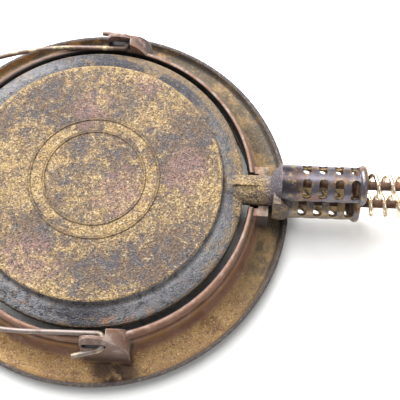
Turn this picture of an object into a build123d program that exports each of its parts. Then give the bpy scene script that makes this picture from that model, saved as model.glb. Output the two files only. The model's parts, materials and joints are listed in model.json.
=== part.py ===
from build123d import *
import os
from math import asin, cos, degrees, hypot, radians, sin, sqrt, tan

os.makedirs("parts", exist_ok=True)

# A cast-iron stovetop waffle iron: a low ring base with a wire bail, and two
# round paddles that open on a split ball hinge and turn over in the base.
# Millimetres. The origin is the middle of the foot that stands on the stove,
# +Z is up and the handles point along +X.

# ---- clearances
MOVE_GAP = 0.3        # between pieces that move past each other
PIN_FIT = 0.05        # hinge pin in the half ball that turns on it
PRESS_FIT = 0.02      # pin, spigot and thread fits that stay put
SEAT_GAP = 0.4        # round handle journal in its saddle
BATTER_GAP = 0.3      # between the two paddles where they close

# ---- paddles, heights measured from the parting plane
PADDLE_R = 95.0
PADDLE_EDGE = 4.2     # height of the outer edge
FACE_R = 82.0
FACE_H = 11.0         # height of the flat face
STEP_H = 7.5          # height of the groove round the face
STEP_W = 4.0
FACE_RING_R = (32.0, 41.0)
FACE_RING_W = 1.5
FACE_RING_H = 0.5

# ---- waffle grid
CAVITY_R = 78.5
CAVITY_H = 6.3
CAVITY_DRAFT = 1.2
STUD_TIP_H = 2.8      # how far the stud tips stay below the parting plane
STUD_PITCH = 13.0
STUD_BASE = 7.8
STUD_DRAFT = 20.0     # degrees
DIVIDER_W = 4.0
DIVIDER_DRAFT = 6.0   # degrees
DIVIDER_TIP_H = 0.6
GRID_MARGIN = 1.5     # between the outer studs and the cavity wall

# ---- base ring
BASE_R = 126.0
RIM_W = 3.1
RIM_Z = 12.0          # top of the outer rim above the foot
GUTTER_DEPTH = 4.6
CREASE_R = 108.0
COLLAR_GAP = 3.8      # between the paddle edge and the collar
COLLAR_W = 3.8
COLLAR_RISE = 24.4    # collar top above the rim
PARTING_RISE = 23.0   # parting plane above the rim
BEAD_R = 104.5
BEAD_RISE = 12.6
BASE_WALL = 3.8
FOOT_W = 4.4
FOOT_EDGE = 0.8

# ---- handle arm, saddle and root
JOURNAL_R = 9.7
ARM_START = 84.0
RIB_W = 2.4
RIB_H = 1.5
RIB_X = (87.0, 103.6)
SADDLE_X = 104.8
SADDLE_LEN = 6.2
POST_W = 6.4
POST_DROP = 1.0       # post tops below the parting plane
ROOT_LEN = 6.4
ROOT_GAP = 0.5        # between the saddle and the swelling of the root
CHEEK_T = 3.0
CHEEK_DROP = 12.4
CHEEK_LEN = 10.5

# ---- ferrules, rods and coil grips
FERRULE_R = 11.3
FERRULE_WALL = 2.2
FERRULE_LEN = 52.6
FERRULE_SPLIT = 6.2   # air between the two ferrules
BEAD_W = 4.5
BEAD_OUT = 1.3
SLOT_W = 5.5
SLOT_ARC = 75.0       # degrees
SLOT_ROWS = 4
SLOT_COLUMNS = 4
SLOT_PITCH = 10.0
SLOT_START = 15.4     # first column from the ferrule's inner end
SPIGOT_LEN = 13.0
ROD_R = 2.75
ROD_END = 152.0       # from the ferrule's inner end to the rod's outer end
THREAD_LEN = 11.0
WASHER_T = 2.5
WASHER_IN = 4.2       # washer face below the ferrule's mouth
NUT_AF = 9.0
NUT_T = 5.0
COIL_R = 8.6
COIL_WIRE_R = 1.5
COIL_PITCH = 9.0
COIL_TURNS = 10
CAP_LEN = 11.0
CAP_R = 6.2
END_WASHER_T = 2.0

# ---- split ball hinge
HINGE_R = 108.0       # from the middle of the base to the ball
BALL_R = 11.0
NECK_R = 7.0
PIN_R = 2.5
PIN_SHORT = 1.1       # pin ends below the ball's surface
CUP_R = 15.0
CUP_DROP = 3.2        # top of the cup below the ball's middle
NECK_GAP = 0.6

# ---- bail and its ears
BAIL_X = 13.2
BAIL_RISE = 27.8      # bail axis above the rim
BAIL_WIRE_R = 1.6
EAR_AHEAD = 13.3      # from the bail's axis to the free end of the ear's tongue
EAR_W = 28.9
EAR_RISE = 9.0        # ear top above the bail's axis
EAR_FRONT_R = 6.0
EAR_BACK_R = 21.7
EAR_T = 4.2
EAR_TOP_T = 1.8
EAR_KNEE_RISE = 3.2   # where the ear's outer face turns in, above the bail's axis
EAR_FOOT_R = 111.5
ROOT_FACE = 2.3       # from the bail's axis to the thick root of the ear
EYE_LEN = 14.2
EYE_H = 5.2
EYE_END = 2.2         # end of the eye beyond the bail's axis
STRAND_GAP = 2.0      # between the bail's legs and the ear's tongue
BAIL_SLOPE = 2.3      # degrees below level at rest
LEG_LEN = 38.2        # straight part of a leg
LEG_BEND = 4.2        # further degrees down after the straight part
LEG_LEAD = 3.0        # from that bend to the arch
ARCH_LEN = 133.0
STUB_LEN = 17.8
STUB_GAP = 0.4
STUB_SPLAY = 12.0     # degrees
STUB_DROOP = 3.0
BEND_R = 3.0

# ---- heights and places that follow
PARTING_Z = RIM_Z + PARTING_RISE
COLLAR_Z = RIM_Z + COLLAR_RISE
GUTTER_Z = RIM_Z - GUTTER_DEPTH
COLLAR_IN_R = PADDLE_R + COLLAR_GAP
COLLAR_OUT_R = COLLAR_IN_R + COLLAR_W
SADDLE_END = SADDLE_X + SADDLE_LEN
ROOT_X = SADDLE_END + ROOT_GAP
FERRULE_X = ROOT_X + ROOT_LEN
FERRULE_H = FERRULE_R + FERRULE_SPLIT / 2
FERRULE_BORE = FERRULE_R - FERRULE_WALL
FERRULE_END = FERRULE_X + FERRULE_LEN
WASHER_X = FERRULE_END - WASHER_IN - WASHER_T
COIL_X = WASHER_X + WASHER_T
COIL_LEN = COIL_PITCH * COIL_TURNS + 2 * COIL_WIRE_R
COIL_END = COIL_X + COIL_LEN
SWEEP_R = FERRULE_H + FERRULE_R + BEAD_OUT
EYE_Z = RIM_Z + BAIL_RISE
PART_H = BATTER_GAP / 2


def across(x, height=0.0):
    """A plane square to the handles at x, its own x along +Y and y along +Z."""
    return Plane(origin=(x, 0, PARTING_Z + height), x_dir=(0, 1, 0), z_dir=(1, 0, 0))


# ---------------------------------------------------------------- base ring
EAR_IN = COLLAR_OUT_R - 0.2
EAR_TOP = EYE_Z + EAR_RISE
EAR_START = BAIL_X - EAR_AHEAD
EAR_END = EAR_START + EAR_W


def bail_ear(side):
    """One ear: a quarter-round lug off the collar whose pierced tongue holds the bail's hook."""
    buried = COLLAR_IN_R - EAR_T
    with BuildPart(mode=Mode.PRIVATE) as ear:
        with BuildSketch(Plane.YZ.offset(EAR_START)) as lean:
            with BuildLine():
                Polyline(
                    (side * buried, UNDER_Z + 1.0),
                    (side * EAR_FOOT_R, UNDER_Z + 1.0),
                    (side * (EAR_IN + EAR_T), EYE_Z + EAR_KNEE_RISE),
                    (side * (EAR_IN + EAR_TOP_T), EAR_TOP),
                    (side * buried, EAR_TOP),
                    close=True,
                )
            make_face()
        extrude(lean.sketch, amount=EAR_W)
        # room for the bail's leg between the tongue and the collar
        with BuildSketch(Plane.YZ.offset(EAR_START)) as notch:
            with Locations((side * (buried + EAR_IN) / 2, COLLAR_Z - COLLAR_W / 2)):
                Rectangle(EAR_IN - buried, EAR_TOP, align=(Align.CENTER, Align.MIN))
        extrude(notch.sketch, amount=EAR_AHEAD + ROOT_FACE, mode=Mode.SUBTRACT)
        with BuildSketch(Plane.XZ) as outline:
            with BuildLine():
                front = EAR_START + EAR_FRONT_R
                back = EAR_END - EAR_BACK_R
                CenterArc((front, EAR_TOP - EAR_FRONT_R), EAR_FRONT_R, 90, 90)
                CenterArc((back, EAR_TOP - EAR_BACK_R), EAR_BACK_R, 0, 90)
                Line((front, EAR_TOP), (back, EAR_TOP))
                Polyline(
                    (EAR_START, EAR_TOP - EAR_FRONT_R),
                    (EAR_START, UNDER_Z),
                    (EAR_END, UNDER_Z),
                    (EAR_END, EAR_TOP - EAR_BACK_R),
                )
            make_face()
            with Locations((BAIL_X + EYE_END - EYE_LEN / 2, EYE_Z)):
                SlotOverall(EYE_LEN, EYE_H, mode=Mode.SUBTRACT)
        extrude(outline.sketch, amount=EAR_FOOT_R + EAR_T, both=True, mode=Mode.INTERSECT)
    return ear.part


INNER_FOOT_R = CREASE_R - 0.5 - FOOT_W
UNDER_Z = GUTTER_Z - BASE_WALL

with BuildPart() as base_ring:
    with BuildSketch(Plane.XZ) as section:
        with BuildLine():
            crown_z = COLLAR_Z - COLLAR_W / 2
            ThreePointArc(
                (COLLAR_IN_R, crown_z),
                ((COLLAR_IN_R + COLLAR_OUT_R) / 2, COLLAR_Z),
                (COLLAR_OUT_R, crown_z),
            )
            bead_z = RIM_Z + BEAD_RISE
            Line((COLLAR_OUT_R, crown_z), (COLLAR_OUT_R - 0.3, bead_z + 1.9))
            ThreePointArc(
                (COLLAR_OUT_R - 0.3, bead_z + 1.9),
                (BEAD_R, bead_z),
                (COLLAR_OUT_R + 1.0, bead_z - 1.9),
            )
            flare = Spline(
                (COLLAR_OUT_R + 1.0, bead_z - 1.9),
                (COLLAR_OUT_R + 2.6, RIM_Z + 3.6),
                (CREASE_R, RIM_Z),
                tangents=((0.1, -1), (1, -0.8)),
            )
            lip_r = BASE_R - RIM_W
            gutter = Spline(
                (CREASE_R, RIM_Z),
                ((CREASE_R + lip_r) / 2, GUTTER_Z),
                (lip_r, RIM_Z - RIM_W / 2),
                tangents=((1, -0.8), (0.1, 1)),
            )
            ThreePointArc(
                (lip_r, RIM_Z - RIM_W / 2),
                (BASE_R - RIM_W / 2, RIM_Z),
                (BASE_R, RIM_Z - RIM_W / 2),
            )
            Polyline(
                (BASE_R, RIM_Z - RIM_W / 2),
                (BASE_R - 1.2, UNDER_Z + 1.0),
                (BASE_R - 3.2, UNDER_Z),
                (INNER_FOOT_R + FOOT_W, UNDER_Z),
                (INNER_FOOT_R + FOOT_W, FOOT_EDGE),
                (INNER_FOOT_R + FOOT_W - FOOT_EDGE, 0),
                (INNER_FOOT_R + FOOT_EDGE, 0),
                (INNER_FOOT_R, FOOT_EDGE),
                (INNER_FOOT_R - 0.4, RIM_Z - 2.0),
                (COLLAR_IN_R, PARTING_Z - 6.0),
                (COLLAR_IN_R, crown_z),
            )
        make_face()
    revolve(axis=Axis.Z)

    # saddle block that carries the round journal of the handles
    with BuildSketch(across(SADDLE_X - COLLAR_W)) as saddle:
        half = JOURNAL_R + SEAT_GAP + POST_W + 0.6
        with BuildLine():
            Polyline(
                (-half, UNDER_Z - PARTING_Z),
                (half, UNDER_Z - PARTING_Z),
                (half, -POST_DROP),
                (-half, -POST_DROP),
                close=True,
            )
        make_face()
    extrude(amount=SADDLE_LEN + COLLAR_W)

    # cup under the hinge ball
    with BuildSketch(Plane.XY.offset(UNDER_Z)) as cup:
        with Locations((-HINGE_R, 0)):
            Circle(CUP_R)
    extrude(amount=PARTING_Z - CUP_DROP - UNDER_Z)

    for side in (1, -1):
        add(bail_ear(side))

    # everything inside the collar's bore is clear for the turning paddles
    with BuildSketch(Plane.XY.offset(UNDER_Z)) as bore:
        Circle(COLLAR_IN_R)
    extrude(amount=EAR_TOP, mode=Mode.SUBTRACT)

    # seat for the journal, notch in the collar and dip in the rim for the handles
    cuts = (
        (SADDLE_X, SADDLE_END + 1, JOURNAL_R + SEAT_GAP),
        (ARM_START, SADDLE_X, JOURNAL_R + RIB_H + SEAT_GAP + 0.5),
        (SADDLE_END, BASE_R + 2, SWEEP_R + MOVE_GAP),
    )
    for start, end, radius in cuts:
        with BuildSketch(across(start)) as trough:
            Circle(radius)
            Rectangle(2 * radius, PARTING_Z, align=(Align.CENTER, Align.MIN))
        extrude(amount=end - start, mode=Mode.SUBTRACT)

    # round seat in the cup, and a slot on both sides for the necks
    with Locations((-HINGE_R, 0, PARTING_Z)):
        Sphere(BALL_R + MOVE_GAP, mode=Mode.SUBTRACT)
    with BuildSketch(across(-HINGE_R - CUP_R - 1)) as neck_slot:
        Circle(NECK_R + NECK_GAP)
        Rectangle(2 * (NECK_R + NECK_GAP), PARTING_Z, align=(Align.CENTER, Align.MIN))
    extrude(amount=2 * CUP_R + 2, mode=Mode.SUBTRACT)

base_ring.part.label = "base_ring"
export_step(base_ring.part, "parts/base_ring.step")


# ------------------------------------------------------------------ paddles
def stud_places():
    """Centres of the studs that stand clear of the cavity wall and the dividers."""
    count = int(CAVITY_R / STUD_PITCH) + 1
    first = (DIVIDER_W + STUD_PITCH) / 2
    steps = [first + STUD_PITCH * n for n in range(count)]
    offsets = [-s for s in reversed(steps)] + steps
    corner = STUD_BASE / 2
    limit = CAVITY_R - CAVITY_DRAFT - GRID_MARGIN
    return [
        (x, y)
        for x in offsets
        for y in offsets
        if hypot(abs(x) + corner, abs(y) + corner) < limit
    ]


def half_disc(radius, waste_y):
    """Sketch the outer half of a disc at the hinge, less a block centred at waste_y."""
    with Locations((-HINGE_R, 0)):
        Circle(radius)
        with Locations((radius, 0)):
            Rectangle(2 * radius, 4 * radius, mode=Mode.SUBTRACT)
        with Locations((0, waste_y)):
            Rectangle(4 * radius, 4 * BALL_R, mode=Mode.SUBTRACT)


def cast_paddle(side):
    """One paddle with its handle root and hinge half: side 1 is the upper, -1 the lower."""

    def at(radius, height):
        return (radius, PARTING_Z + side * height)

    # the plate: flat face, step and groove, sloping flange and blunt edge
    with BuildSketch(Plane.XZ) as plate:
        with BuildLine():
            Polyline(
                at(0, PART_H),
                at(PADDLE_R, PART_H),
                at(PADDLE_R, PADDLE_EDGE - 1.2),
                at(PADDLE_R - 1.2, PADDLE_EDGE),
                at(FACE_R + STEP_W, STEP_H),
                at(FACE_R + 0.8, STEP_H - 0.4),
                at(FACE_R, STEP_H + 0.6),
                at(FACE_R - 0.6, FACE_H - 0.7),
                at(FACE_R - 1.6, FACE_H),
                at(0, FACE_H),
                close=True,
            )
        make_face()
        for ring_r in FACE_RING_R:
            with BuildLine():
                Polyline(
                    at(ring_r - FACE_RING_W / 2, FACE_H - 0.2),
                    at(ring_r - FACE_RING_W / 4, FACE_H + FACE_RING_H),
                    at(ring_r + FACE_RING_W / 4, FACE_H + FACE_RING_H),
                    at(ring_r + FACE_RING_W / 2, FACE_H - 0.2),
                    close=True,
                )
            make_face()
    revolve(plate.sketch, axis=Axis.Z)

    # the half-round arm that is one half of the journal
    with BuildSketch(across(ARM_START)) as arm:
        with BuildLine():
            flat = sqrt(JOURNAL_R**2 - PART_H**2)
            Line((-flat, side * PART_H), (flat, side * PART_H))
            ThreePointArc((flat, side * PART_H), (0, side * JOURNAL_R), (-flat, side * PART_H))
        make_face()
    extrude(arm.sketch, amount=FERRULE_X - ARM_START)

    # the rib along its back
    with BuildSketch(Plane.XZ) as rib:
        with BuildLine():
            crest = JOURNAL_R + RIB_H
            Polyline(
                at(RIB_X[0], JOURNAL_R / 2),
                at(RIB_X[0], crest - 1.0),
                at(RIB_X[0] + 2.0, crest),
                at(RIB_X[1] - 2.0, crest),
                at(RIB_X[1], crest - 1.6),
                at(RIB_X[1], JOURNAL_R / 2),
                close=True,
            )
        make_face()
    extrude(rib.sketch, amount=RIB_W / 2, both=True)

    # the root swells from the arm to the ferrule's size
    sections = ((0, 0.36, 0.36), (0.38, 0.70, 0.76), (1, 1, 1))
    rounds = []
    for along, height, radius in sections:
        with BuildSketch(across(ROOT_X + ROOT_LEN * along)) as ring:
            with Locations((0, side * FERRULE_H * height)):
                Circle(FERRULE_R * radius)
        rounds.append(ring.sketch)
    loft(rounds)

    # spigot inside the ferrule, bored for the rod
    with BuildSketch(across(FERRULE_X)) as spigot:
        with Locations((0, side * FERRULE_H)):
            Circle(FERRULE_BORE - PRESS_FIT)
    extrude(spigot.sketch, amount=SPIGOT_LEN)
    with BuildSketch(across(FERRULE_X + SPIGOT_LEN)) as thread:
        with Locations((0, side * FERRULE_H)):
            Circle(ROD_R + PRESS_FIT)
    extrude(thread.sketch, amount=-THREAD_LEN, mode=Mode.SUBTRACT)

    # half-round neck, cut back round the other paddle's half ball
    with BuildSketch(across(-HINGE_R)) as neck:
        with BuildLine():
            flat = sqrt(NECK_R**2 - PART_H**2)
            Line((-flat, side * PART_H), (flat, side * PART_H))
            ThreePointArc((flat, side * PART_H), (0, side * NECK_R), (-flat, side * PART_H))
        make_face()
    extrude(neck.sketch, amount=HINGE_R - PADDLE_R + 4)
    hinge_pin_axis = Axis((-HINGE_R, 0, PARTING_Z), (0, 1, 0))
    with BuildSketch(Plane.XY.offset(PARTING_Z)) as pocket:
        half_disc(BALL_R + MOVE_GAP, side * (2 * BALL_R + PART_H))
    revolve(pocket.sketch, axis=hinge_pin_axis, mode=Mode.SUBTRACT)

    # the half ball, turned about the pin's axis and drilled for the pin
    pin_room = PIN_FIT if side > 0 else PRESS_FIT
    with BuildSketch(Plane.XY.offset(PARTING_Z)) as ball:
        half_disc(BALL_R, side * (PART_H - 2 * BALL_R))
    revolve(ball.sketch, axis=hinge_pin_axis)
    with BuildSketch(Plane.XZ) as drill:
        with Locations((-HINGE_R, PARTING_Z)):
            Circle(PIN_R + pin_room)
    extrude(drill.sketch, amount=BALL_R, both=True, mode=Mode.SUBTRACT)


def waffle_grid(side):
    """The drafted cavity with its studs and the two dividers across it."""
    with BuildSketch(Plane.XY.offset(PARTING_Z + side * PART_H)) as mouth:
        Circle(CAVITY_R)
    with BuildSketch(Plane.XY.offset(PARTING_Z + side * CAVITY_H)) as floor:
        Circle(CAVITY_R - CAVITY_DRAFT)
    loft([mouth.sketch, floor.sketch], mode=Mode.SUBTRACT)
    with BuildSketch(Plane.XY.offset(PARTING_Z + side * CAVITY_H)) as studs:
        with Locations(*stud_places()):
            Rectangle(STUD_BASE, STUD_BASE)
    extrude(studs.sketch, amount=CAVITY_H - STUD_TIP_H, dir=(0, 0, -side), taper=STUD_DRAFT)
    with BuildSketch(Plane.XY.offset(PARTING_Z + side * CAVITY_H)) as dividers:
        Rectangle(2 * CAVITY_R - 2 * CAVITY_DRAFT, DIVIDER_W)
        Rectangle(DIVIDER_W, 2 * CAVITY_R - 2 * CAVITY_DRAFT)
    extrude(dividers.sketch, amount=CAVITY_H - DIVIDER_TIP_H, dir=(0, 0, -side), taper=DIVIDER_DRAFT)


with BuildPart() as lower_paddle:
    cast_paddle(-1)
    waffle_grid(-1)
lower_paddle.part.label = "lower_paddle"
export_step(lower_paddle.part, "parts/lower_paddle.step")

with BuildPart() as upper_paddle:
    cast_paddle(1)
    waffle_grid(1)
    # the cheek that hangs beside the lower handle root and lines the pair up
    with BuildSketch(Plane.XZ.offset(FERRULE_R + SEAT_GAP)) as cheek:
        with BuildLine():
            low = PARTING_Z - CHEEK_DROP
            Line((ROOT_X + 2, PARTING_Z + FERRULE_H), (ROOT_X + 2, low + CHEEK_LEN / 2))
            ThreePointArc(
                (ROOT_X + 2, low + CHEEK_LEN / 2),
                (ROOT_X + 2 + CHEEK_LEN / 2, low),
                (ROOT_X + 2 + CHEEK_LEN, low + CHEEK_LEN / 2),
            )
            Polyline(
                (ROOT_X + 2 + CHEEK_LEN, low + CHEEK_LEN / 2),
                (ROOT_X + 2 + CHEEK_LEN, PARTING_Z + 2),
                (FERRULE_X, PARTING_Z + FERRULE_H),
                (ROOT_X + 2, PARTING_Z + FERRULE_H),
            )
        make_face()
    extrude(amount=CHEEK_T)
    with BuildSketch(Plane.XZ) as web:
        with Locations(((ROOT_X + 2 + FERRULE_X) / 2, PARTING_Z + PART_H)):
            Rectangle(FERRULE_X - ROOT_X - 2, FERRULE_H, align=(Align.CENTER, Align.MIN))
    extrude(amount=FERRULE_R + SEAT_GAP + CHEEK_T / 2)
upper_paddle.part.label = "upper_paddle"
export_step(upper_paddle.part, "parts/upper_paddle.step")

# --------------------------------------------------------------- hinge pin
pin_half = sqrt(BALL_R**2 - PIN_R**2) - PIN_SHORT
with BuildPart() as hinge_pin:
    with BuildSketch(Plane.XZ.offset(-pin_half)) as pin_section:
        with Locations((-HINGE_R, PARTING_Z)):
            Circle(PIN_R)
    extrude(amount=2 * pin_half)
    chamfer(hinge_pin.edges().filter_by(GeomType.CIRCLE), length=0.4)
hinge_pin.part.label = "hinge_pin"
export_step(hinge_pin.part, "parts/hinge_pin.step")


# ------------------------------------------- ferrules, rods and coil grips
def ferrule_slot():
    """The waste of one vent slot, round ended, in a ferrule standing on +Z."""
    mean_r = FERRULE_R - FERRULE_WALL / 2
    end_angle = degrees(asin(SLOT_W / 2 / mean_r))
    straight = SLOT_ARC / 2 - end_angle
    with BuildPart(mode=Mode.PRIVATE) as waste:
        with BuildSketch(Plane.XZ.rotated((0, 0, -straight))) as block:
            with Locations((mean_r, 0)):
                Rectangle(2 * FERRULE_WALL, SLOT_W)
        revolve(block.sketch, axis=Axis.Z, revolution_arc=2 * straight)
        for angle in (-straight, straight):
            radial = Plane(origin=(0, 0, 0), z_dir=(cos(radians(angle)), sin(radians(angle)), 0))
            with BuildSketch(radial.offset(mean_r - FERRULE_WALL)) as end:
                Circle(SLOT_W / 2)
            extrude(end.sketch, amount=2 * FERRULE_WALL)
    return waste.part


def ferrule(side):
    """Vented steel sleeve over the spigot, with a rolled bead at its mouth."""
    axis_z = PARTING_Z + side * FERRULE_H
    bead_start = FERRULE_END - BEAD_W
    with BuildSketch(Plane.XZ) as wall:
        with BuildLine():
            Polyline(
                (FERRULE_END, axis_z + FERRULE_R),
                (FERRULE_END, axis_z + FERRULE_BORE),
                (FERRULE_X, axis_z + FERRULE_BORE),
                (FERRULE_X, axis_z + FERRULE_R),
                (bead_start, axis_z + FERRULE_R),
            )
            ThreePointArc(
                (bead_start, axis_z + FERRULE_R),
                (FERRULE_END - BEAD_W / 2, axis_z + FERRULE_R + BEAD_OUT),
                (FERRULE_END, axis_z + FERRULE_R),
            )
        make_face()
    revolve(wall.sketch, axis=Axis((0, 0, axis_z), (1, 0, 0)))
    slot = ferrule_slot()
    for column in range(SLOT_COLUMNS):
        place = across(FERRULE_X + SLOT_START + SLOT_PITCH * column, side * FERRULE_H)
        with Locations(place):
            with PolarLocations(0, SLOT_ROWS, start_angle=45):
                add(slot, mode=Mode.SUBTRACT)


def round_bar(start, end, radius, side, edge=0.0):
    """A bar or washer on a handle's centre line, its ends chamfered by edge."""
    with BuildSketch(across(start, side * FERRULE_H)) as bar:
        Circle(radius)
    body = extrude(bar.sketch, amount=end - start)
    if edge:
        chamfer(body.edges().filter_by(GeomType.CIRCLE), length=edge)


def rod_hole(start, end, side):
    """Clear hole for the rod through a washer."""
    with BuildSketch(across(start, side * FERRULE_H)) as hole:
        Circle(ROD_R + MOVE_GAP / 3)
    extrude(hole.sketch, amount=end - start, mode=Mode.SUBTRACT)


def hexagon_nut(start, side):
    """Plain hexagon nut tapped for the rod."""
    with BuildSketch(across(start, side * FERRULE_H)) as nut:
        RegularPolygon(NUT_AF / 2, 6, major_radius=False)
        Circle(ROD_R + PRESS_FIT, mode=Mode.SUBTRACT)
    extrude(nut.sketch, amount=NUT_T)


def coil_grip(side):
    """Open coil of round wire wound round the rod."""
    axis_z = PARTING_Z + side * FERRULE_H
    with BuildLine() as winding:
        Helix(
            pitch=COIL_PITCH,
            height=COIL_PITCH * COIL_TURNS,
            radius=COIL_R - COIL_WIRE_R,
            center=(COIL_X + COIL_WIRE_R, 0, axis_z),
            direction=(1, 0, 0),
        )
    with BuildSketch(Plane(origin=winding.line @ 0, z_dir=winding.line % 0)) as wire:
        Circle(COIL_WIRE_R)
    sweep(wire.sketch, path=winding.line, is_frenet=True)


def cap_nut(start, side):
    """Domed nut that closes the end of the rod."""
    axis_z = PARTING_Z + side * FERRULE_H
    dome_r = CAP_R - 0.6
    with BuildSketch(across(start, side * FERRULE_H)) as nut:
        RegularPolygon(CAP_R, 6, major_radius=True)
    extrude(nut.sketch, amount=CAP_LEN - dome_r)
    with BuildSketch(Plane.XZ) as dome:
        with BuildLine():
            centre_x = start + CAP_LEN - dome_r
            Line((centre_x, axis_z), (centre_x + dome_r, axis_z))
            CenterArc((centre_x, axis_z), dome_r, 0, 90)
            Line((centre_x, axis_z + dome_r), (centre_x, axis_z))
        make_face()
    revolve(dome.sketch, axis=Axis((0, 0, axis_z), (1, 0, 0)))
    with BuildSketch(across(start, side * FERRULE_H)) as hole:
        Circle(ROD_R + PRESS_FIT)
    extrude(hole.sketch, amount=FERRULE_X + ROD_END - start + MOVE_GAP, mode=Mode.SUBTRACT)


END_WASHER_X = COIL_END
CAP_X = END_WASHER_X + END_WASHER_T

for side, name in ((-1, "lower"), (1, "upper")):
    with BuildPart() as sleeve:
        ferrule(side)
    sleeve.part.label = f"{name}_ferrule"
    export_step(sleeve.part, f"parts/{name}_ferrule.step")

    with BuildPart() as rod:
        rod_start = FERRULE_X + SPIGOT_LEN - THREAD_LEN + MOVE_GAP
        round_bar(rod_start, FERRULE_X + ROD_END, ROD_R, side, edge=0.5)
    rod.part.label = f"{name}_rod"
    export_step(rod.part, f"parts/{name}_rod.step")

    with BuildPart() as mouth_washer:
        round_bar(WASHER_X, WASHER_X + WASHER_T, FERRULE_BORE - PRESS_FIT, side)
        rod_hole(WASHER_X, WASHER_X + WASHER_T, side)
    mouth_washer.part.label = f"{name}_mouth_washer"
    export_step(mouth_washer.part, f"parts/{name}_mouth_washer.step")

    with BuildPart() as lock_nut:
        hexagon_nut(WASHER_X - NUT_T, side)
    lock_nut.part.label = f"{name}_lock_nut"
    export_step(lock_nut.part, f"parts/{name}_lock_nut.step")

    with BuildPart() as grip:
        coil_grip(side)
    grip.part.label = f"{name}_coil_grip"
    export_step(grip.part, f"parts/{name}_coil_grip.step")

    with BuildPart() as end_washer:
        round_bar(END_WASHER_X, END_WASHER_X + END_WASHER_T, COIL_R, side, edge=0.4)
        rod_hole(END_WASHER_X, END_WASHER_X + END_WASHER_T, side)
    end_washer.part.label = f"{name}_end_washer"
    export_step(end_washer.part, f"parts/{name}_end_washer.step")

    with BuildPart() as cap:
        cap_nut(CAP_X, side)
    cap.part.label = f"{name}_cap_nut"
    export_step(cap.part, f"parts/{name}_cap_nut.step")


# -------------------------------------------------------------------- bail
def sloping_plane(origin, angle):
    """A plane whose own x runs towards the hinge, angle degrees below level."""
    run = cos(radians(angle))
    drop = sin(radians(angle))
    return Plane(origin=origin, x_dir=(-run, 0, -drop), z_dir=(-drop, 0, run))


leg_plane = sloping_plane((BAIL_X, 0, EYE_Z), BAIL_SLOPE)
inner_y = EAR_IN - STRAND_GAP - BAIL_WIRE_R
outer_y = EAR_IN + EAR_T + STUB_GAP + BAIL_WIRE_R
stub_y = outer_y + STUB_LEN * tan(radians(STUB_SPLAY))
arch_x = LEG_LEN + LEG_LEAD * cos(radians(LEG_BEND))
arch_drop = LEG_LEAD * sin(radians(LEG_BEND))
arch_origin = leg_plane.from_local_coords(Vector(arch_x, 0, -arch_drop))
arch_plane = sloping_plane(arch_origin, BAIL_SLOPE + LEG_BEND)

with BuildPart() as bail:
    with BuildLine(leg_plane) as wire_path:
        for side in (-1, 1):
            FilletPolyline(
                (STUB_LEN, side * stub_y, -STUB_DROOP),
                (0, side * outer_y, 0),
                (0, side * inner_y, 0),
                (LEG_LEN, side * inner_y, 0),
                (arch_x, side * inner_y, -arch_drop),
                radius=BEND_R,
            )
        with BuildLine(arch_plane):
            EllipticalCenterArc((0, 0), ARCH_LEN, inner_y, start_angle=-90, arc_size=180)
    bail_wire = wire_path.wires()[0]
    with BuildSketch(Plane(origin=bail_wire @ 0, z_dir=bail_wire % 0)) as wire_section:
        Circle(BAIL_WIRE_R)
    sweep(wire_section.sketch, path=bail_wire)
bail.part.label = "bail"
export_step(bail.part, "parts/bail.step")
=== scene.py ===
"""Finishes and stage for the stovetop waffle iron, as a Blender add-on."""

import json
import math
from types import SimpleNamespace

import bpy
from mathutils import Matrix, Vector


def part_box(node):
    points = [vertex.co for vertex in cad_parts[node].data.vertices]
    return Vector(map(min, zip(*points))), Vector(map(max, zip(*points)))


bl_info = {
    "name": "Stovetop Waffle Iron",
    "version": (1, 0, 0),
    "blender": (4, 5, 0),
    "location": "View3D > Sidebar > Waffle Iron",
    "description": "Cast iron, steel and plated wire finishes for a stovetop waffle iron",
    "category": "Object",
}

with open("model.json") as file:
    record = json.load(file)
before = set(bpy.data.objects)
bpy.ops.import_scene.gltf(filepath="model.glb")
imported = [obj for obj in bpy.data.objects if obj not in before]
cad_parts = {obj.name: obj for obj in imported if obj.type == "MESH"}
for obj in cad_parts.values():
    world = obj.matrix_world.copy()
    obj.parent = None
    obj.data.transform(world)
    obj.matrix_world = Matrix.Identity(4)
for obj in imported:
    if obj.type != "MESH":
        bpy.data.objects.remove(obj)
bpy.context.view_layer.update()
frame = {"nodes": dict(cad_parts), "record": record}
HANDS = ("lower", "upper")

# Places that the finishes follow, in metres, from the joints and the boxes of the frame.
# The near side is -Y, the far side is +Y, the hinge is at -X and the handles are at +X.
JOINTS = {joint["name"]: joint for joint in frame["record"]["behaviour"]["joints"]}
PARTING_Z = JOINTS["turn"]["pos_m"][2]  # the paddles meet at the height of the axis they turn about
BAIL_X, _, BAIL_Z = JOINTS["bail_swing"]["pos_m"]
# radii are rounded to a tenth of a millimetre, because a mesh's facets fall a little short of its circle
PADDLE_R = round(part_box("upper_paddle")[1][1], 4)
BASE_R = round(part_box("base_ring")[1][1], 4)
FERRULE_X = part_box("upper_ferrule")[0][0]

# the paddles: a flat face with two rings, a sloping flange, and a cavity on the cooking side
FACE_R = PADDLE_R - 0.0130
RING_RADII = (0.0320, 0.0410)
RING_EDGE = 0.0008  # from the middle of a ring's line to its edge
CAVITY_R = PADDLE_R - 0.0165
CAVITY_H = 0.0063
ROOT_X = FERRULE_X - 0.0064  # where the arms swell into the handle roots
BORE_R = 0.0091  # inside of the ferrules

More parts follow.
